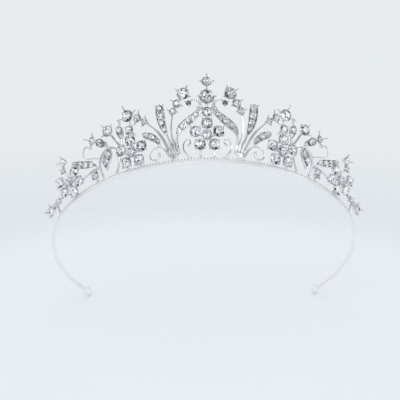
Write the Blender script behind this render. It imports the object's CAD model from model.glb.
"""Bridal tiara: silver-plated floral castings with claw-set crystals.

The castings stand on a beaded rail, and the rail on a sprung head band.
"""

import math
import random

import bpy
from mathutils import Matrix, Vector


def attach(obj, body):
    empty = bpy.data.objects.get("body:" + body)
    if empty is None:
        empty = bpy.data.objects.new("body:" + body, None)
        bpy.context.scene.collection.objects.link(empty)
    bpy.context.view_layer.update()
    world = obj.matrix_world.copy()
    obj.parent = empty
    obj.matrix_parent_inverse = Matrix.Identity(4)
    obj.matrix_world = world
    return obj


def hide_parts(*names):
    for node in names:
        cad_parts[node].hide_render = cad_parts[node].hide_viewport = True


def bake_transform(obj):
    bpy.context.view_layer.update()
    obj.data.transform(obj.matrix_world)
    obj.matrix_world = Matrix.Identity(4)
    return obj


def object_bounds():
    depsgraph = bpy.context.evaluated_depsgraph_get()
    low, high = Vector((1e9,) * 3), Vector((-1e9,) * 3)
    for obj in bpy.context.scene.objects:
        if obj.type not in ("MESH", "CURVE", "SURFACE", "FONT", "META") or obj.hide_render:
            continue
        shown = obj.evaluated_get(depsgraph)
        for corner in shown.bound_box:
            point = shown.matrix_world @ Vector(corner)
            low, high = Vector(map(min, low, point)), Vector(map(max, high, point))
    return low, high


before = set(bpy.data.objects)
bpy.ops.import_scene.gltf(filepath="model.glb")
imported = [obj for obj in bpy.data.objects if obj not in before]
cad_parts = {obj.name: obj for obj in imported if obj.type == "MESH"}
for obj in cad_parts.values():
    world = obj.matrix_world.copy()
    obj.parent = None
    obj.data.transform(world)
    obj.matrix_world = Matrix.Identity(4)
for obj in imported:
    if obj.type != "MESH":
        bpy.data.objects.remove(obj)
cad_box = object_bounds()

# Sizes are in millimetres until a piece becomes a mesh.
MM = 0.001
BAND_RADIUS = 67.0
BAND_THICKNESS = 1.3
BAND_WIDTH = 1.8
BAND_EDGE = 0.35
BAND_STEPS = 84
BAND_SLOPE = math.radians(49)
FRONT_REACH = 77.0
ARM_REACH = 123.0
FLARE = math.radians(23)
RAIL_REACH = 69.0
RAIL_HEIGHT = 0.3
RAIL_GRAINS = 128
RAIL_GRAIN = 0.56
LOOP_RADIUS = 2.0
LOOP_WIRE = 0.5
LOOP_STEPS = 32
GIRDLE_BASE = 0.45
GIRDLE_SHARE = 0.35
SETTING_WALL = 0.32
SETTING_BACK = 0.55
CHANNEL_WALL = 0.92
CHANNEL_FLOOR = 0.42
FOOT = 0.5
ROOT = 3.2
FLOWER_RING = 4.7
PETAL_STONE = 2.1
FLOWER_STONE = 1.8
END_RING = 4.8
END_CENTRE = (62.0, 7.5)
END_PETAL_STONE = 1.95
END_YAW = 17.0
TRAIL_YAW = 25.0

# A grain's radius at each of its stations, from its neck, as a share of its widest.
GRAIN_SHAPE = (0.45, 0.93, 1.0, 0.93)

RIGHT = Vector((1, 0, 0))
AHEAD = Vector((0, -math.cos(BAND_SLOPE), math.sin(BAND_SLOPE)))
AXIS = Vector((0, math.sin(BAND_SLOPE), math.cos(BAND_SLOPE)))


# ---------------------------------------------------------------- places on the ornament
def outward(turn):
    return RIGHT * math.sin(turn) + AHEAD * math.cos(turn)


def around(turn):
    return RIGHT * math.cos(turn) - AHEAD * math.sin(turn)


def on_face(along, up, lift=0.0):
    """Point on the flaring face, and its directions round the band, up the face and out of it."""
    turn = along / BAND_RADIUS
    out = outward(turn)
    rise = AXIS * math.cos(FLARE) + out * math.sin(FLARE)
    proud = out * math.cos(FLARE) - AXIS * math.sin(FLARE)
    point = out * BAND_RADIUS + AXIS * (BAND_WIDTH / 2) + rise * up + proud * lift
    return point, around(turn), rise, proud


def turned(along, up, yaw=0.0, across=0.0, upward=0.0):
    """A place on the face turned toward the front by yaw, then moved in its own turned plane."""
    point, x, y, z = on_face(along, up)
    x, z = x * math.cos(yaw) + z * math.sin(yaw), z * math.cos(yaw) - x * math.sin(yaw)
    return point + x * across + y * upward, x, y, z


def flow(places, per=5):
    """(along, up, lift) places along a smooth curve: it keeps the two end places and rounds the rest."""
    stops = [Vector((*place, 0)[:3]) for place in places]
    if len(stops) == 2:
        return [stops[0].lerp(stops[1], k / per) for k in range(per + 1)]
    track = [stops[0]]
    last = len(stops) - 2
    for i in range(1, last + 1):
        start = stops[0] if i == 1 else (stops[i - 1] + stops[i]) / 2
        end = stops[-1] if i == last else (stops[i] + stops[i + 1]) / 2
        for k in range(1, per + 1):
            t = k / per
            track.append(start.lerp(stops[i], t).lerp(stops[i].lerp(end, t), t))
    return track


def evenly(track, step):
    """The same curve with places about one step apart."""
    lengths = [0.0]
    for a, b in zip(track, track[1:]):
        lengths.append(lengths[-1] + (b - a).length)
    count = max(2, round(lengths[-1] / step))
    places, i = [], 0
    for k in range(count + 1):
        want = lengths[-1] * k / count
        while i < len(lengths) - 2 and lengths[i + 1] < want:
            i += 1
        run = lengths[i + 1] - lengths[i]
        places.append(track[i].lerp(track[i + 1], (want - lengths[i]) / run if run else 0))
    return places


def along_list(values, share):
    """The value at a share of the way along a list, with straight runs between its values."""
    at = share * (len(values) - 1)
    i = min(int(at), len(values) - 2)
    return values[i] + (values[i + 1] - values[i]) * (at - i)


def ring_places(centre, ring, first_angle, count=5):
    places = []
    for step in range(count):
        turn = math.radians(first_angle + step * 360 / count)
        up = centre[1] + ring * math.sin(turn)
        spread = 1 + up * math.sin(FLARE) / BAND_RADIUS
        places.append((centre[0] + ring * math.cos(turn) / spread, up))
    return places


def girdle_height(stone):
    return GIRDLE_BASE + GIRDLE_SHARE * stone


# ---------------------------------------------------------------- making meshes
class Work:
    """One piece on the bench: its points, its faces, and the stones set in it."""

    def __init__(self):
        self.points = []
        self.faces = []
        self.recess = []
        self.tones = []
        self.stones = []

    def skin(self, loops, recess=None):
        """Faces between loops of equal length, with the two ends closed."""
        first, n, count = len(self.points), len(loops[0]), len(loops)
        for i, loop in enumerate(loops):
            self.points += loop
            self.recess += recess[i] if recess else [0.0] * n
        for i in range(count - 1):
            a, b = first + i * n, first + (i + 1) * n
            for j in range(n):
                k = (j + 1) % n
                self.faces.append((a + j, a + k, b + k, b + j))
        self.faces.append(tuple(first + j for j in reversed(range(n))))
        self.faces.append(tuple(first + (count - 1) * n + j for j in range(n)))

    def tube(self, spine, radii, sides=8, flat=1.0, recess=0.0):
        """Wire along (point, normal) pairs, one radius each. flat is its depth as a share of its width."""
        loops = []
        count = len(spine)
        for i, (point, normal) in enumerate(spine):
            ahead = spine[min(i + 1, count - 1)][0]
            behind = spine[max(i - 1, 0)][0]
            tangent = (ahead - behind).normalized()
            side = normal.cross(tangent).normalized()
            top = tangent.cross(side)
            stations = [(0.0, 1.0)]
            if i == 0:
                stations = [(-0.97, 0.25), (-0.7, 0.71), (0.0, 1.0)]
            if i == count - 1:
                stations = [(0.0, 1.0), (0.7, 0.71), (0.97, 0.25)]
            for shift, share in stations:
                middle = point + tangent * radii[i] * shift
                r = radii[i] * share
                loops.append(
                    [
                        middle
                        + side * r * math.cos(j * math.tau / sides)
                        + top * r * flat * math.sin(j * math.tau / sides)
                        for j in range(sides)
                    ]
                )
        self.skin(loops, [[recess] * sides for _ in loops])

    def stem(self, places, radii, flat=1.0):
        """Smooth wire through (along, up) or (along, up, lift) places. radii are spread along it."""
        track = flow(places)
        spine = []
        for place in track:
            point, _, _, proud = on_face(*place)
            spine.append((point, proud))
        shares = [along_list(radii, i / (len(track) - 1)) for i in range(len(track))]
        self.tube(spine, shares, flat=flat, recess=0.3)

    def grains(self, spine, grain, sides=6):
        """Row of small round grains along evenly spaced (point, normal) pairs, darkened at their necks."""
        stations = len(GRAIN_SHAPE)
        shares = [GRAIN_SHAPE[i % stations] for i in range(len(spine))]
        first = len(self.recess)
        self.tube(spine, [grain * share for share in shares], sides)
        end_rings = 2
        for i in range(first + end_rings * sides, len(self.recess) - end_rings * sides):
            if ((i - first) // sides - end_rings) % stations == 0:
                self.recess[i] = 1.0

    def grain_row(self, places, grain, lift=0.35):
        """Milled row of grains along the face."""
        spine = []
        for place in evenly(flow(places), grain * 0.48):
            point, _, _, proud = on_face(place.x, place.y, place.z + lift)
            spine.append((point, proud))
        self.grains(spine, grain)

    def lathe(self, origin, axes, profile, sides=20, recess=None):
        """Turned form: profile is (radius, height) from its foot."""
        x, y, z = axes
        turns = [j * math.tau / sides for j in range(sides)]
        rays = [x * math.cos(turn) + y * math.sin(turn) for turn in turns]
        loops = [[origin + ray * r + z * height for ray in rays] for r, height in profile]
        self.skin(loops, [[value] * sides for value in recess] if recess else None)

    def ball(self, centre, radius, axes=(RIGHT, AHEAD, AXIS), squash=1.0):
        arc = [(math.cos(a), math.sin(a)) for a in (-1.35, -0.8, -0.27, 0.27, 0.8, 1.35)]
        self.lathe(centre, axes, [(radius * c, radius * squash * s) for c, s in arc], 8)

    def prong(self, centre, axes, stone, angle, reach):
        """Claw up the outside of a cup. It folds over the stone, or stands out past it by reach."""
        x, y, z = axes
        out = x * math.cos(angle) + y * math.sin(angle)
        rim, h = stone + SETTING_WALL, girdle_height(stone)
        if reach:
            run = [(rim * 0.8, -0.2), (rim, h * 0.35), (rim + 0.1, h), (stone + reach * 0.6, h + 0.5)]
            run.append((stone + reach, h + 0.62))
            radii = (0.22, 0.29, 0.29, 0.25, 0.23)
        else:
            run = [(rim * 0.8, -0.2), (rim + 0.02, h * 0.35), (rim + 0.1, h), (rim + 0.02, h + 0.34)]
            run.append((stone - 0.14, h + 0.44))
            radii = (0.22, 0.3, 0.32, 0.29, 0.25)
        track = flow(run, 3)
        spine = [(centre + out * p.x + z * p.y, z.cross(out)) for p in track]
        thickness = [along_list(radii, i / (len(track) - 1)) for i in range(len(track))]
        self.tube(spine, thickness, 6, recess=0.55)
        self.ball(spine[-1][0], 0.31, axes)

    def cup(self, along, up, stone, turn=45.0, reach=0.0, prongs=4, yaw=0.0, life=1.0):
        """Cup and stone at a place on the face."""
        self.cup_on(turned(along, up, math.radians(yaw)), stone, turn, reach, prongs, life)

    def cup_on(self, seat, stone, turn=45.0, reach=0.0, prongs=4, life=1.0):
        """Tapered cup with its claws, and the stone for it. life is how much light the stone returns."""
        centre, x, y, z = seat
        rim, h = stone + SETTING_WALL, girdle_height(stone)
        back = [(0.3 * rim, -SETTING_BACK), (0.58 * rim, -SETTING_BACK), (0.66 * rim, -SETTING_BACK * 0.8)]
        wall = [(0.8 * rim, -0.05), (0.93 * rim, h * 0.5), (rim, h - 0.14), (rim, h - 0.02)]
        lip = [(rim - 0.07, h + 0.05), (stone + 0.1, h + 0.04), (stone + 0.01, h - 0.05)]
        inside = [(stone - 0.15, h - 0.25), (0.3 * stone, h - 0.5 * stone)]
        profile = back + wall + lip + inside
        self.lathe(centre, (x, y, z), profile, 20, [0.5, 0.3, 0.2, 0.15, 0.05, 0, 0, 0, 0.2, 0.8, 1, 1])
        for k in range(prongs):
            self.prong(centre, (x, y, z), stone, math.radians(turn) + k * math.tau / prongs, reach)
        self.stones.append((seat, stone, life))

    def tray(self, places, widths, stones=(), life=1.0):
        """Milled channel along places, half widths spread along it, with (along, up, radius) stones in it."""
        track = evenly(flow(places), 0.3)
        loops, recess, rims = [], [], ([], [])
        for i, place in enumerate(track):
            share = i / (len(track) - 1)
            w = along_list(widths, share)
            to_tip = min(1.0, (track[-1] - place).length / max(widths[-1], 0.9 * widths[-2]))
            w = max(0.3, w * math.sqrt(1 - (1 - to_tip) ** 2))
            point, x, y, z = on_face(place.x, place.y)
            a, b = track[max(i - 1, 0)], track[min(i + 1, len(track) - 1)]
            run = (on_face(b.x, b.y)[0] - on_face(a.x, a.y)[0]).normalized()
            side = run.cross(z).normalized()
            inner = max(0.06, w - 0.3)
            top = CHANNEL_WALL
            outside = [(0.5 * w, -0.5, 0.5), (0.92 * w, -0.2, 0.3), (w, top - 0.2, 0.1), (w - 0.08, top, 0.0)]
            inside = [(inner + 0.05, top, 0.0), (inner, top - 0.12, 0.4), (inner * 0.9, CHANNEL_FLOOR, 0.55)]
            half = outside + inside
            loop = [(point + side * u + z * v, r) for u, v, r in half]
            loop += [(point - side * u + z * v, r) for u, v, r in reversed(half)]
            loops.append([p for p, _ in loop])
            recess.append([r for _, r in loop])
            for rim, sign in zip(rims, (1, -1)):
                rim.append((point + side * sign * (w - 0.14) + z * (top + 0.02), z))
        self.skin(loops, recess)
        for rim in rims:
            fine = []
            for (p, n), (q, _) in zip(rim, rim[1:]):
                fine += [(p, n), (p.lerp(q, 0.5), n)]
            self.grains(fine, 0.2)
        for along, up, stone in stones:
            centre, x, y, z = on_face(along, up)
            h = girdle_height(stone)
            bezel = [(stone - 0.1, CHANNEL_FLOOR), (stone + 0.16, h - 0.15), (stone + 0.12, h + 0.03)]
            bezel += [(stone, h), (stone - 0.2, h - 0.2)]
            self.lathe(centre, (x, y, z), bezel, 16, [0.9, 0.3, 0, 0.4, 1])
            self.stones.append(((centre, x, y, z), stone, life))
        for a, b in zip(stones, stones[1:]):
            self.shared_grains(a, b)

    def shared_grains(self, a, b):
        """Two grains that hold neighbouring stones, one on each side of where they meet."""
        pa, x, y, z = on_face(a[0], a[1], girdle_height(a[2]))
        pb = on_face(b[0], b[1], girdle_height(b[2]))[0]
        run = pb - pa
        side = run.cross(z).normalized()
        middle = pa.lerp(pb, a[2] / (a[2] + b[2]))
        for sign in (1, -1):
            self.ball(middle + side * sign * (a[2] + b[2]) * 0.27 + z * 0.12, 0.3, (x, y, z))

    def foot(self, along, radius=0.62):
        """Solder where a leg stands on the rail."""
        point, x, y, z = on_face(along, FOOT)
        self.ball(point, radius, (x, z, y), 0.7)

    def brilliant(self, seat, stone, life, rng):
        """Round brilliant with its girdle at the setting's height; every facet gets its own tone."""
        centre, x, y, z = seat
        centre = centre + z * girdle_height(stone)
        spin = rng.uniform(0, math.tau)
        first = len(self.points)

        def circle(count, radius, height, half_step=0.0):
            start = len(self.points)
            for k in range(count):
                a = spin + (k + half_step) * math.tau / count
                out = (x * math.cos(a) + y * math.sin(a)) * radius * stone
                self.points.append(centre + out + z * height * stone)
            return [start + k for k in range(count)]

        self.points.append(centre + z * 0.355 * stone)
        rose = circle(8, 0.3, 0.375, 0.5)
        table = circle(8, 0.56, 0.345)
        middle = circle(8, 0.79, 0.22, 0.5)
        girdle = circle(16, 1.0, 0.05)
        under = circle(16, 1.0, 0.0)
        self.points.append(centre - z * 0.5 * stone)
        culet = len(self.points) - 1

        def facet(*corners, tone):
            self.faces.append(corners)
            self.tones.append(min(1.0, max(0.0, tone * life)))

        def sparkle(dark, bright):
            roll = rng.random()
            if roll < dark:
                return rng.uniform(0.0, 0.2)
            if roll > 1 - bright:
                return rng.uniform(0.86, 1.0)
            return rng.uniform(0.5, 0.8)

        low = rng.uniform(0, math.tau)
        for k in range(8):
            m = (k + 1) % 8
            near, far, next_near = girdle[2 * k], girdle[2 * k + 1], girdle[(2 * k + 2) % 16]
            shade = 0.5 + 0.5 * math.cos(k * math.tau / 8 + spin - low)
            sector = sparkle(0.16, 0.3)
            facet(first, rose[k], rose[m], tone=sparkle(0.24, 0.5))
            facet(rose[k], table[k], table[m], tone=sparkle(0.2, 0.5))
            facet(rose[k], table[m], rose[m], tone=sparkle(0.26, 0.4))
            facet(table[k], middle[k], table[m], tone=sparkle(0.12, 0.5))
            facet(table[k], middle[k - 1], near, middle[k], tone=sector * (0.6 + 0.4 * shade))
            facet(middle[k], near, far, tone=sector * (0.6 + 0.5 * shade))
            facet(middle[k], far, next_near, tone=sparkle(0.14, 0.4) * (0.6 + 0.5 * shade))
        for k in range(16):
            m = (k + 1) % 16
            facet(girdle[k], under[k], under[m], girdle[m], tone=0.6)
            facet(under[k], culet, under[m], tone=0.4)

    def mesh(self, name, flip=False):
        """The piece as a mesh in metres, or its mirror image."""
        sign = -1 if flip else 1
        mesh = bpy.data.meshes.new(name)
        points = [(p.x * sign * MM, p.y * MM, p.z * MM) for p in self.points]
        faces = [tuple(reversed(face)) for face in self.faces] if flip else self.faces
        mesh.from_pydata(points, [], faces)
        if self.tones:
            tone = mesh.attributes.new("tone", "FLOAT", "FACE")
            tone.data.foreach_set("value", self.tones)
        else:
            recess = mesh.attributes.new("recess", "FLOAT", "POINT")
            recess.data.foreach_set("value", self.recess)
            mesh.shade_smooth()
            mesh.set_sharp_from_angle(angle=math.radians(42))
        mesh.validate()
        piece = bpy.data.objects.new(name, mesh)
        bpy.context.scene.collection.objects.link(piece)
        return piece

    def place(self, node, material, slot, body="tiara", flip=False):
        """Put the piece on the tiara in place of a CAD node."""
        piece = self.mesh("cast_" + node, flip)
        piece.data.materials.append(material)
        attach(piece, body)
        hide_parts(node)

    def set_crystals(self, node, flip=False):
        """Cut and set this piece's stones."""
        rng = random.Random(node)
        cut = Work()
        for seat, stone, life in self.stones:
            cut.brilliant(seat, stone, life, rng)
        piece = cut.mesh("crystals_" + node.replace("_stones", ""), flip)
        piece.data.materials.append(crystal)
        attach(piece, "tiara")
        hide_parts(node)

    def single(self, name):
        self.place(name, silver, "cast_silver")
        if self.stones:
            self.set_crystals(name + "_stones")

    def pair(self, name):
        """The right-hand piece and its mirror image on the left."""
        for side, flip in (("right", False), ("left", True)):
            self.place(f"{name}_{side}", silver, "cast_silver", flip=flip)
            if self.stones:
                self.set_crystals(f"{name}_stones_{side}", flip)


# ---------------------------------------------------------------- finishes
class Socket:
    """A shader value on which arithmetic adds Math nodes."""

    def __init__(self, shader, socket):
        self.shader = shader
        self.socket = socket

    def math(self, operation, *values):
        return self.shader.node("ShaderNodeMath", {"operation": operation}, dict(enumerate(values)))

    def __add__(self, other):
        return self.math("ADD", self, other)

    __radd__ = __add__

    def __mul__(self, other):
        return self.math("MULTIPLY", self, other)

    __rmul__ = __mul__

    def __sub__(self, other):
        return self.math("SUBTRACT", self, other)

    def __rsub__(self, other):
        return self.math("SUBTRACT", other, self)

    def between(self, low, high):
        """0 below low, 1 above high, smooth between."""
        settings = {"interpolation_type": "SMOOTHSTEP"}
        inputs = {"Value": self, "From Min": low, "From Max": high}
        return self.shader.node("ShaderNodeMapRange", settings, inputs)


class Shader:
    """A node tree, filled one node at a time."""

    def __init__(self, tree):
        self.tree = tree
        tree.nodes.clear()

    def node(self, kind, settings=None, inputs=None, output=0):
        made = self.tree.nodes.new(kind)
        for name, value in (settings or {}).items():
            if name == "stops":
                while len(made.color_ramp.elements) < len(value):
                    made.color_ramp.elements.new(1)
                for element, (at, colour) in zip(made.color_ramp.elements, value):
                    element.position = at
                    element.color = (*colour, 1)
            else:
                setattr(made, name, value)
        for name, value in (inputs or {}).items():
            if isinstance(value, Socket):
                self.tree.links.new(value.socket, made.inputs[name])
            else:
                made.inputs[name].default_value = value
        return Socket(self, made.outputs[output]) if made.outputs else None

    def mix(self, factor, a, b):
        a, b = (colour if isinstance(colour, Socket) else (*colour, 1) for colour in (a, b))
        return self.node("ShaderNodeMix", {"data_type": "RGBA"}, {0: factor, 6: a, 7: b}, 2)


def new_material(name):
    material = bpy.data.materials.new(name)
    material.use_nodes = True
    return material, Shader(material.node_tree)


def plated(name, bright, worn, polish, relief, metal=1.0):
    """Rhodium-bright plate: clean on the high places, greyer and duller in the recesses."""
    material, s = new_material(name)
    place = s.node("ShaderNodeTexCoord", output="Object")
    recess = s.node("ShaderNodeAttribute", {"attribute_name": "recess"}, output="Fac")
    cloud = s.node("ShaderNodeTexNoise", {}, {"Vector": place, "Scale": 260.0, "Detail": 3.0})
    grit = s.node("ShaderNodeTexNoise", {}, {"Vector": place, "Scale": 2600.0, "Detail": 2.0})
    dull = (recess * 0.75 + cloud.between(0.52, 0.78) * 0.3).between(0.0, 1.0)
    colour = s.mix(dull, bright, worn)
    height = cloud * 0.6 + grit * 0.4
    bump = s.node("ShaderNodeBump", {}, {"Strength": relief, "Distance": 0.00003, "Height": height})
    roughness = polish + dull * 0.22 + grit.between(0.5, 0.8) * 0.06
    inputs = {"Base Color": colour, "Metallic": metal, "Roughness": roughness, "Normal": bump}
    surface = s.node("ShaderNodeBsdfPrincipled", {}, inputs)
    s.node("ShaderNodeOutputMaterial", {}, {"Surface": surface})
    return material


def cut_crystal():
    """Foil-backed clear crystal: each facet returns its own light, from near black to white."""
    material, s = new_material("foil_backed_crystal")
    tone = s.node("ShaderNodeAttribute", {"attribute_name": "tone"}, output="Fac")
    dark_stops = [(0.0, (0.035, 0.04, 0.05)), (0.22, (0.16, 0.17, 0.19))]
    stops = dark_stops + [(0.6, (0.5, 0.52, 0.55)), (0.9, (0.93, 0.94, 0.96))]
    colour = s.node("ShaderNodeValToRGB", {"stops": stops}, {"Fac": tone})
    inputs = {
        "Base Color": colour, "Metallic": 0.65 - tone * 0.3, "Roughness": 0.04,
        "Coat Weight": 0.6, "Coat Roughness": 0.02, "IOR": 1.55,
    }
    surface = s.node("ShaderNodeBsdfPrincipled", {}, inputs)
    s.node("ShaderNodeOutputMaterial", {}, {"Surface": surface})
    return material


silver = plated("rhodium_plated_casting", (0.84, 0.85, 0.87), (0.3, 0.31, 0.33), 0.12, 0.25)
rail_silver = plated("rhodium_plated_rail", (0.93, 0.94, 0.95), (0.16, 0.165, 0.18), 0.3, 0.2, 0.75)
band_silver = plated("rhodium_plated_band", (0.93, 0.94, 0.955), (0.72, 0.73, 0.75), 0.4, 0.12, 0.8)
crystal = cut_crystal()


# ---------------------------------------------------------------- head band, rail and loops
def band_half(sign):
    """Half of the head band, from the middle of the front to one end, with rounded edges."""
    work = Work()
    a, b, c = BAND_THICKNESS / 2, BAND_WIDTH / 2, BAND_EDGE
    corner = [(math.cos(t), math.sin(t)) for t in (0.0, 0.52, 1.05, 1.57)]
    outline = [(a - c + c * u, b - c + c * v) for u, v in corner]
    outline += [(-a + c - c * v, b - c + c * u) for u, v in corner]
    outline += [(-a + c - c * u, -b + c - c * v) for u, v in corner]
    outline += [(a - c + c * v, -b + c - c * u) for u, v in corner]
    loops = []
    for i in range(BAND_STEPS + 1):
        turn = math.radians(ARM_REACH * i / BAND_STEPS) * sign
        ease = min(1.0, (BAND_STEPS - i + 1.2) / 3)
        loops.append([outward(turn) * (BAND_RADIUS + u) + AXIS * v * ease for u, v in outline])
    if sign > 0:
        loops = [list(reversed(loop)) for loop in loops]
    work.skin(loops)
    return work


for side, sign in (("left", -1), ("right", 1)):
    half = band_half(sign).mesh(f"head_band_{side}")
    half.data.materials.append(band_silver)
    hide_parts("headband_front", f"headband_arm_{side}")
    bend = math.radians(FRONT_REACH) * sign
    middle, along = outward(bend) * BAND_RADIUS, around(bend) * sign
    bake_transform(half)

    end = math.radians(ARM_REACH) * sign
    past = around(end) * sign
    loop = Work()
    centre = outward(end) * BAND_RADIUS + past * LOOP_RADIUS
    spine = []
    for k in range(LOOP_STEPS + 1):
        a = math.radians(196 + 348 * k / LOOP_STEPS)
        drift = (k / LOOP_STEPS - 0.5) * 0.3
        point = centre + past * math.cos(a) * LOOP_RADIUS + AXIS * math.sin(a) * LOOP_RADIUS
        spine.append((point + outward(end) * drift, outward(end)))
    loop.tube(spine, [LOOP_WIRE * 0.92] * len(spine), 10)
    loop.ball(centre - past * LOOP_RADIUS, 0.72, (around(end), AXIS, outward(end)), 0.8)
    loop.place(f"end_loop_{side}", band_silver, "band_silver", f"{side}_arm")

rail = Work()
rail_spine = []
rail_out = BAND_RADIUS + RAIL_HEIGHT * math.sin(FLARE)
rail_up = BAND_WIDTH / 2 + RAIL_HEIGHT * math.cos(FLARE)
rail_steps = len(GRAIN_SHAPE) * RAIL_GRAINS
for i in range(rail_steps + 1):
    turn = math.radians(RAIL_REACH * (2 * i / rail_steps - 1))
    rail_spine.append((outward(turn) * rail_out + AXIS * rail_up, AXIS))
rail.grains(rail_spine, RAIL_GRAIN, 8)
rail.tube(rail_spine[::8], [0.27] * len(rail_spine[::8]), 6, recess=0.4)
rail.place("base_rail", rail_silver, "cast_silver")

# ---------------------------------------------------------------- centre flower and spire
flower = Work()
flower_centre = (0.0, 9.6)
flower_petals = ring_places(flower_centre, FLOWER_RING, 90)
for petal in flower_petals:
    flower.stem([flower_centre, petal], (0.5, 0.42))
    flower.cup(*petal, PETAL_STONE)
for petal in flower_petals[2:4]:
    flower.stem([petal, (petal[0], FOOT)], (0.42, 0.5))
    flower.foot(petal[0])
flower.cup(*flower_centre, FLOWER_STONE, turn=54, prongs=5)
flower.single("centre_flower")

spire = Work()
spire.stem([(0.0, 15.6), (0.0, 31.3)], (0.5, 0.42))
spire.cup(0.0, 18.9, 1.85)
spire.cup(0.0, 25.0, 2.8, turn=0, reach=0.9)
spire.cup(0.0, 31.3, 1.8, turn=0, reach=1.15)
spire.single("centre_spire")

# ---------------------------------------------------------------- sprays beside the spire
root = Work()
root.stem([(10.7, ROOT), (13.0, ROOT + 0.05), (15.2, ROOT)], (0.55, 0.7, 0.55), flat=0.8)
root.stem([(12.95, FOOT), (12.95, ROOT)], (0.85, 1.2, 1.7, 2.2), flat=0.17)
ribs = ((11.0, 12.5, 0.5), (12.1, 12.75, 0.6), (13.2, 13.0, 0.65), (14.3, 13.2, 0.6), (15.2, 13.45, 0.5))
for top, base, thick in ribs:
    middle = top * 0.55 + base * 0.45
    root.stem([(top, ROOT, 0.15), (middle, 2.0, 0.25), (base, 0.6, 0.2)], (thick, 0.5, 0.32))
root.foot(12.95, 1.0)
root.pair("spray_root")

heart = Work()
heart.stem([(6.3, 22.8), (5.7, 24.3), (3.5, 24.1), (2.0, 21.8), (1.9, 20.0)], (0.34, 0.38, 0.44, 0.5, 0.5))
heart.tray(
    [
        (2.45, 22.2), (2.3, 20.6), (2.9, 19.0), (3.9, 17.9),
        (6.35, 15.6), (8.95, 13.5), (10.4, 11.9), (11.2, 9.9),
    ],
    (0.5, 1.0, 1.25, 1.4, 1.68, 1.7, 1.6, 1.1, 0.5),
    [(2.85, 20.4, 0.75), (3.9, 18.0, 1.1), (6.35, 15.6, 1.35), (8.95, 13.5, 1.25)],
)
heart.stem([(10.4, 12.0), (11.3, 10.0), (11.5, 8.4), (11.0, ROOT)], (0.4, 0.45, 0.55, 0.72))
heart.grain_row([(2.1, 22.0), (2.3, 23.2), (3.4, 24.05), (4.6, 24.15)], 0.42, 0.4)
heart.grain_row([(10.5, 12.0), (11.2, 10.2), (11.5, 8.4), (11.3, 6.0)], 0.36, 0.45)
heart.cup(6.3, 22.8, 0.95, prongs=3, turn=20, life=0.22)
heart.pair("heart_scroll")

inner = Work()
inner.stem(
    [
        (12.1, ROOT), (12.3, 6.2), (13.3, 10.9), (13.2, 14.6),
        (12.6, 17.7), (12.0, 20.0), (10.3, 22.9), (8.0, 26.7),
    ],
    (0.7, 0.58, 0.45, 0.4, 0.4, 0.4, 0.42),
)
inner.cup(12.0, 20.0, 1.35, turn=20, reach=0.9)
inner.cup(10.3, 22.9, 1.6, turn=33, reach=1.1)
inner.cup(8.0, 26.7, 2.3, turn=32, reach=1.1)
inner.pair("inner_trail")

upright = Work()
upright.stem([(13.2, ROOT), (13.4, 5.6), (14.4, 9.2), (15.3, 12.0)], (0.8, 0.7, 0.52, 0.4))
upright.tray(
    [(14.9, 10.6), (15.6, 12.9), (16.25, 15.6), (16.5, 18.8), (16.55, 23.5)],
    (0.45, 1.1, 1.45, 1.65, 1.82, 1.85, 1.75, 1.2),
    [(16.55, 21.9, 1.35), (16.5, 18.8, 1.5), (16.25, 15.6, 1.3), (15.6, 12.9, 1.05)],
)
upright_tip, *upright_axes = on_face(16.55, 21.9)
for turn in (35, 145):
    upright.prong(upright_tip, upright_axes, 1.35, math.radians(turn), 0.75)
upright.grain_row([(15.0, 11.0), (14.6, 9.4), (13.8, 7.0)], 0.36, 0.5)
upright.pair("upright_leaf")

outer = Work()
outer.stem(
    [
        (14.3, ROOT), (15.3, 6.6), (17.0, 10.4), (18.6, 13.4),
        (21.0, 16.2), (22.6, 17.8), (25.0, 19.8), (28.5, 21.7),
    ],
    (0.75, 0.62, 0.5, 0.42, 0.4, 0.4, 0.42),
)
outer.cup(22.6, 17.8, 1.15, turn=27, reach=1.1)
outer.cup(25.0, 19.8, 1.5, turn=27, reach=1.6)
outer.cup(28.5, 21.7, 2.3, turn=-15, reach=2.2)
outer.pair("outer_trail")

inner_volute = Work()
inner_volute.stem(
    [(5.8, FOOT), (7.5, 1.4), (9.1, 3.6), (9.3, 6.2), (7.9, 8.4), (6.5, 8.0), (6.3, 6.6), (7.2, 5.8)],
    (0.42, 0.38, 0.34, 0.34, 0.36, 0.42),
)
inner_volute.ball(on_face(7.2, 5.8)[0], 0.6)
inner_volute.foot(5.8, 0.5)
inner_volute.pair("inner_volute")

outer_volute = Work()
outer_volute.stem(
    [
        (15.2, ROOT), (16.2, 5.4), (18.2, 6.7), (20.8, 6.1), (22.5, 4.2),
        (22.2, 2.2), (20.3, 1.3), (18.5, 2.3), (18.6, 4.0),
    ],
    (0.42, 0.36, 0.34, 0.34, 0.4, 0.5),
)
outer_volute.ball(on_face(18.6, 4.0)[0], 0.62)
outer_volute.pair("outer_volute")

leaf = Work()
leaf.stem([(18.1, 6.7), (18.5, 8.9), (20.3, 10.7)], (0.5, 0.45, 0.4))
leaf.tray(
    [(18.0, 7.2), (18.5, 8.9), (20.3, 10.7), (22.5, 12.1), (24.0, 12.9)],
    (0.45, 1.1, 1.4, 1.6, 1.62, 1.5, 0.95),
    [(22.5, 12.1, 1.2), (20.3, 10.7, 1.25), (18.5, 8.9, 0.95)],
)
leaf.pair("side_leaf")

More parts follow.
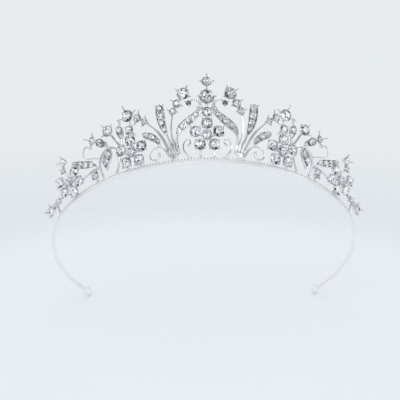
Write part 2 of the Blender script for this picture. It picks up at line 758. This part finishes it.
# ---------------------------------------------------------------- side flower and what hangs on it
side = Work()
side_centre = (29.2, 7.0)
side_petals = ring_places(side_centre, FLOWER_RING, 93)
bud = (28.7, 16.0)
shoulder = side_petals[4]
for petal in side_petals:
    side.stem([side_centre, petal], (0.5, 0.42))
    side.cup(*petal, PETAL_STONE)
for petal in side_petals[2:4]:
    side.stem([petal, (petal[0], FOOT)], (0.42, 0.5))
    side.foot(petal[0])
side.stem([side_petals[0], bud], (0.45, 0.4))
side.stem([bud, (26.7, 13.7)], (0.4, 0.35))
side.grain_row([(27.9, 15.0), (26.6, 13.6)], 0.4, 0.3)
prop_top = (shoulder[0] + 1.25, shoulder[1] - 0.7)
side.stem([prop_top, (35.3, 5.0), (36.1, 3.0), (37.8, FOOT)], (0.42, 0.4, 0.45))
side.foot(37.8)
side.cup(*side_centre, FLOWER_STONE, turn=54, prongs=5)
side.cup(*bud, 1.6)
side.pair("side_flower")

fern = Work()
fern_foot = (shoulder[0] + 0.15, shoulder[1] + 1.6)
fern.stem([fern_foot, (32.4, 13.0), (32.6, 17.0), (32.2, 20.9)], (0.5, 0.45, 0.4, 0.35))
fern.stem([fern_foot, (34.6, 12.6), (35.9, 15.0), (37.3, 18.4)], (0.5, 0.42, 0.42))
fern_channel = [(32.6, 13.6), (32.45, 15.0), (32.6, 17.0), (32.5, 18.9)]
fern.tray(fern_channel, (0.45, 1.2, 1.65, 1.7, 1.3), [(32.6, 17.0, 1.35)])
for along, up in ((32.5, 18.9), (32.35, 19.9), (32.2, 20.9)):
    fern.ball(on_face(along, up, 0.2)[0], 0.58)
fern.cup(37.3, 18.4, 2.1, turn=60, reach=1.2)
fern.pair("fern_spray")

wing = Work()
wing.stem(
    [
        (shoulder[0] + 1.35, shoulder[1] + 1.4), (36.5, 11.7), (38.9, 12.2), (41.7, 10.9), (43.8, 8.5),
        (44.7, 4.8), (43.6, FOOT),
    ],
    (0.5, 0.62, 0.6, 0.52, 0.48, 0.5),
    flat=0.8,
)
wing.foot(43.6)
wing.stem(
    [(43.3, 9.4), (46.4, 10.7), (49.4, 11.6), (51.4, 13.7), (50.3, 16.3), (47.8, 16.8), (46.6, 15.3)],
    (0.42, 0.36, 0.34, 0.34, 0.36, 0.42),
)
wing.ball(on_face(46.6, 15.3)[0], 0.6)
wing.stem([(38.9, 12.2), (41.3, 15.2), (44.9, 17.5)], (0.5, 0.42, 0.4))
wing.tray([(39.0, 12.8), (41.3, 15.2), (43.4, 16.6)], (0.4, 1.35, 1.8, 1.78, 0.9), [(41.3, 15.2, 1.5)])
wing.cup(44.9, 17.5, 1.35, turn=30, reach=2.2)
wing.pair("wing_spray")

hanging = Work()
hanging.stem([(38.4, 12.1), (39.0, 9.4), (40.85, 6.75), (41.2, 3.3)], (0.45, 0.4, 0.34, 0.22))
hanging.tray(
    [(38.5, 11.4), (39.0, 9.4), (40.85, 6.75), (41.15, 4.0)],
    (0.5, 1.55, 1.75, 1.85, 1.7, 1.1, 0.4),
    [(39.0, 9.4, 1.4), (40.85, 6.75, 1.5)],
)
hanging.pair("hanging_leaf")

# ---------------------------------------------------------------- outer leaf and end flower
twig = Work()
twig.stem([(44.6, 5.6), (47.5, 6.2), (51.5, 5.4), (56.4, 5.6, -1.65)], (0.45, 0.4, 0.4, 0.45))
twig.stem([(45.3, 6.0), (46.2, 7.6), (47.9, 8.7)], (0.5, 0.42, 0.4))
twig.stem([(47.3, FOOT), (47.3, 6.1)], (0.5, 0.4))
twig.foot(47.3)
twig.tray(
    [(46.3, 7.7), (47.9, 8.7), (50.8, 9.6), (53.4, 11.0), (55.8, 12.6), (57.2, 13.5)],
    (0.4, 1.35, 1.55, 1.6, 1.55, 1.35, 1.05, 0.4),
    [(47.9, 8.7, 1.2), (50.8, 9.6, 1.3), (53.4, 11.0, 1.2), (55.8, 12.6, 1.0)],
    life=1.4,
)
twig.cup(47.3, 3.5, 1.6)
twig.pair("outer_leaf")

tail = Work()
tail_seat = turned(*END_CENTRE, math.radians(END_YAW))
for turn, claws in ((22, 45), (142, 0), (202, 45), (262, 45), (322, 45)):
    across, upward = END_RING * math.cos(math.radians(turn)), END_RING * math.sin(math.radians(turn))
    petal = turned(*END_CENTRE, math.radians(END_YAW), across, upward)
    tail.tube([(tail_seat[0], tail_seat[3]), (petal[0], petal[3])], (0.5, 0.42))
    tail.cup_on(petal, END_PETAL_STONE, claws, life=1.6)
tail.stem([(61.4, 2.7), (61.4, FOOT)], (0.42, 0.5))
tail.foot(61.4)
tail.stem([(62.4, 8.7), (62.6, 11.6), (63.9, 13.9), (62.4, 16.9)], (0.45, 0.4, 0.4))
tail.stem([(65.6, 4.55, 1.1), (69.8, 4.9), (73.9, 4.9), (78.1, 5.2), (83.4, 6.0)], (0.45, 0.4, 0.38, 0.38))
tail.stem([(75.9, 5.0), (76.2, FOOT)], (0.4, 0.45))
tail.foot(76.2)
tail.cup_on(tail_seat, 1.7, 54, prongs=5, life=1.2)
tail.cup(63.9, 13.9, 1.0, yaw=END_YAW, life=1.5)
tail.cup(62.4, 16.9, 1.45, turn=10, reach=1.2, yaw=END_YAW, life=1.5)
tail.cup(73.9, 4.9, 1.15, yaw=TRAIL_YAW, life=1.3)
tail.cup(78.1, 5.2, 0.95, yaw=TRAIL_YAW, life=1.3)
tail.cup(83.4, 6.0, 1.8, turn=20, reach=1.3, yaw=TRAIL_YAW, life=1.2)
tail.pair("end_flower")

# ---------------------------------------------------------------- floor, light and camera
BACKDROP = (0.80, 0.835, 0.86)
lowest = cad_box[0].z
ground = Work()
level_axes = (RIGHT, Vector((0, 1, 0)), Vector((0, 0, 1)))
ground.lathe(Vector((0, 0, lowest / MM)), level_axes, [(900, -1), (900, 0), (1, 0)], 64)
floor = ground.mesh("studio_floor")
floor_finish, s = new_material("pale_floor")
place = s.node("ShaderNodeTexCoord", output="Object")
distance = s.node("ShaderNodeVectorMath", {"operation": "LENGTH"}, {0: place}, 1)
matt = s.node("ShaderNodeBsdfPrincipled", {}, {"Base Color": (*BACKDROP, 1), "Roughness": 0.8})
clear = s.node("ShaderNodeBsdfTransparent")
faded = s.node("ShaderNodeMixShader", {}, {0: distance.between(0.12, 0.4), 1: matt, 2: clear})
s.node("ShaderNodeOutputMaterial", {}, {"Surface": faded})
floor.data.materials.append(floor_finish)

world = bpy.data.worlds.new("studio")
world.use_nodes = True
bpy.context.scene.world = world
s = Shader(world.node_tree)
heading = s.node("ShaderNodeTexCoord", output="Generated")
parts = s.node("ShaderNodeSeparateXYZ", {}, {0: heading})
x, y, z = (Socket(s, parts.socket.node.outputs[k]) for k in range(3))
sideways, forward = x * x, y * y

# What the metal mirrors: a pale room with a grey ceiling ring, dark strips, grey sides and a darker ground.
ceiling = z.between(0.68, 0.8) * (1 - z.between(0.93, 0.975))
strips = sideways.between(0.12, 0.2) * (1 - sideways.between(0.28, 0.4))
flags = strips * forward.between(0.02, 0.25) * z.between(0.1, 0.3)
wings = sideways.between(0.6, 0.75) * (1 - z.between(0.2, 0.4))
low = (0 - z).between(0.02, 0.3) * forward.between(0.01, 0.25)
studio = s.mix(ceiling, (0.92, 0.93, 0.945), (0.55, 0.565, 0.585))
studio = s.mix(wings * 0.9, studio, (0.38, 0.385, 0.395))
studio = s.mix(flags, studio, (0.05, 0.055, 0.065))
studio = s.mix(low * 0.55, studio, (0.2, 0.205, 0.215))
path = s.node("ShaderNodeLightPath")
camera_ray = Socket(s, path.socket.node.outputs["Is Camera Ray"])
diffuse_ray = Socket(s, path.socket.node.outputs["Is Diffuse Ray"])
studio = s.mix(diffuse_ray, studio, (0.93, 0.94, 0.95))
room = s.node("ShaderNodeBackground", {}, {"Color": studio, "Strength": 1.0})
backdrop = s.node("ShaderNodeBackground", {}, {"Color": (*BACKDROP, 1), "Strength": 1.0})
shown = s.node("ShaderNodeMixShader", {}, {0: camera_ray, 1: room, 2: backdrop})
s.node("ShaderNodeOutputWorld", {}, {"Surface": shown})

LAMP_TARGET = Vector((0, -0.02, 0.0))


def softbox(name, place, size, watts):
    light = bpy.data.lights.new(name, "AREA")
    light.shape = "RECTANGLE"
    light.size, light.size_y = size
    light.energy = watts
    lamp = bpy.data.objects.new(name, light)
    lamp.location = place
    lamp.visible_camera = False
    aim = LAMP_TARGET - Vector(place)
    lamp.rotation_euler = aim.to_track_quat("-Z", "Y").to_euler()
    bpy.context.scene.collection.objects.link(lamp)


softbox("key_softbox", (-0.5, -1.1, 1.0), (1.1, 0.5), 2.0)
softbox("fill_softbox", (1.3, -0.5, 0.6), (0.5, 0.8), 0.8)
softbox("rim_softbox", (0.1, 1.2, 1.1), (1.2, 0.5), 1.9)

camera = bpy.data.cameras.new("camera")
camera.sensor_width = 36.0
camera.lens = 81.0
eye_turn, eye_rise = math.radians(-1.56), math.radians(15.15)
eye_right, eye_up, eye_distance = -1.78, 22.28, 404.4
level_back = Vector((math.sin(eye_turn), -math.cos(eye_turn), 0))
level = Vector((math.cos(eye_turn), math.sin(eye_turn), 0))
back = level_back * math.cos(eye_rise) + Vector((0, 0, math.sin(eye_rise)))
upward = back.cross(level)
viewer = bpy.data.objects.new("camera", camera)
viewer.rotation_mode = "QUATERNION"
viewer.location = (level * eye_right + upward * eye_up + back * eye_distance) * MM
viewer.rotation_quaternion = (-back).to_track_quat("-Z", "Y")
bpy.context.scene.collection.objects.link(viewer)
bpy.context.scene.camera = viewer
bpy.context.scene.view_settings.view_transform = "Standard"
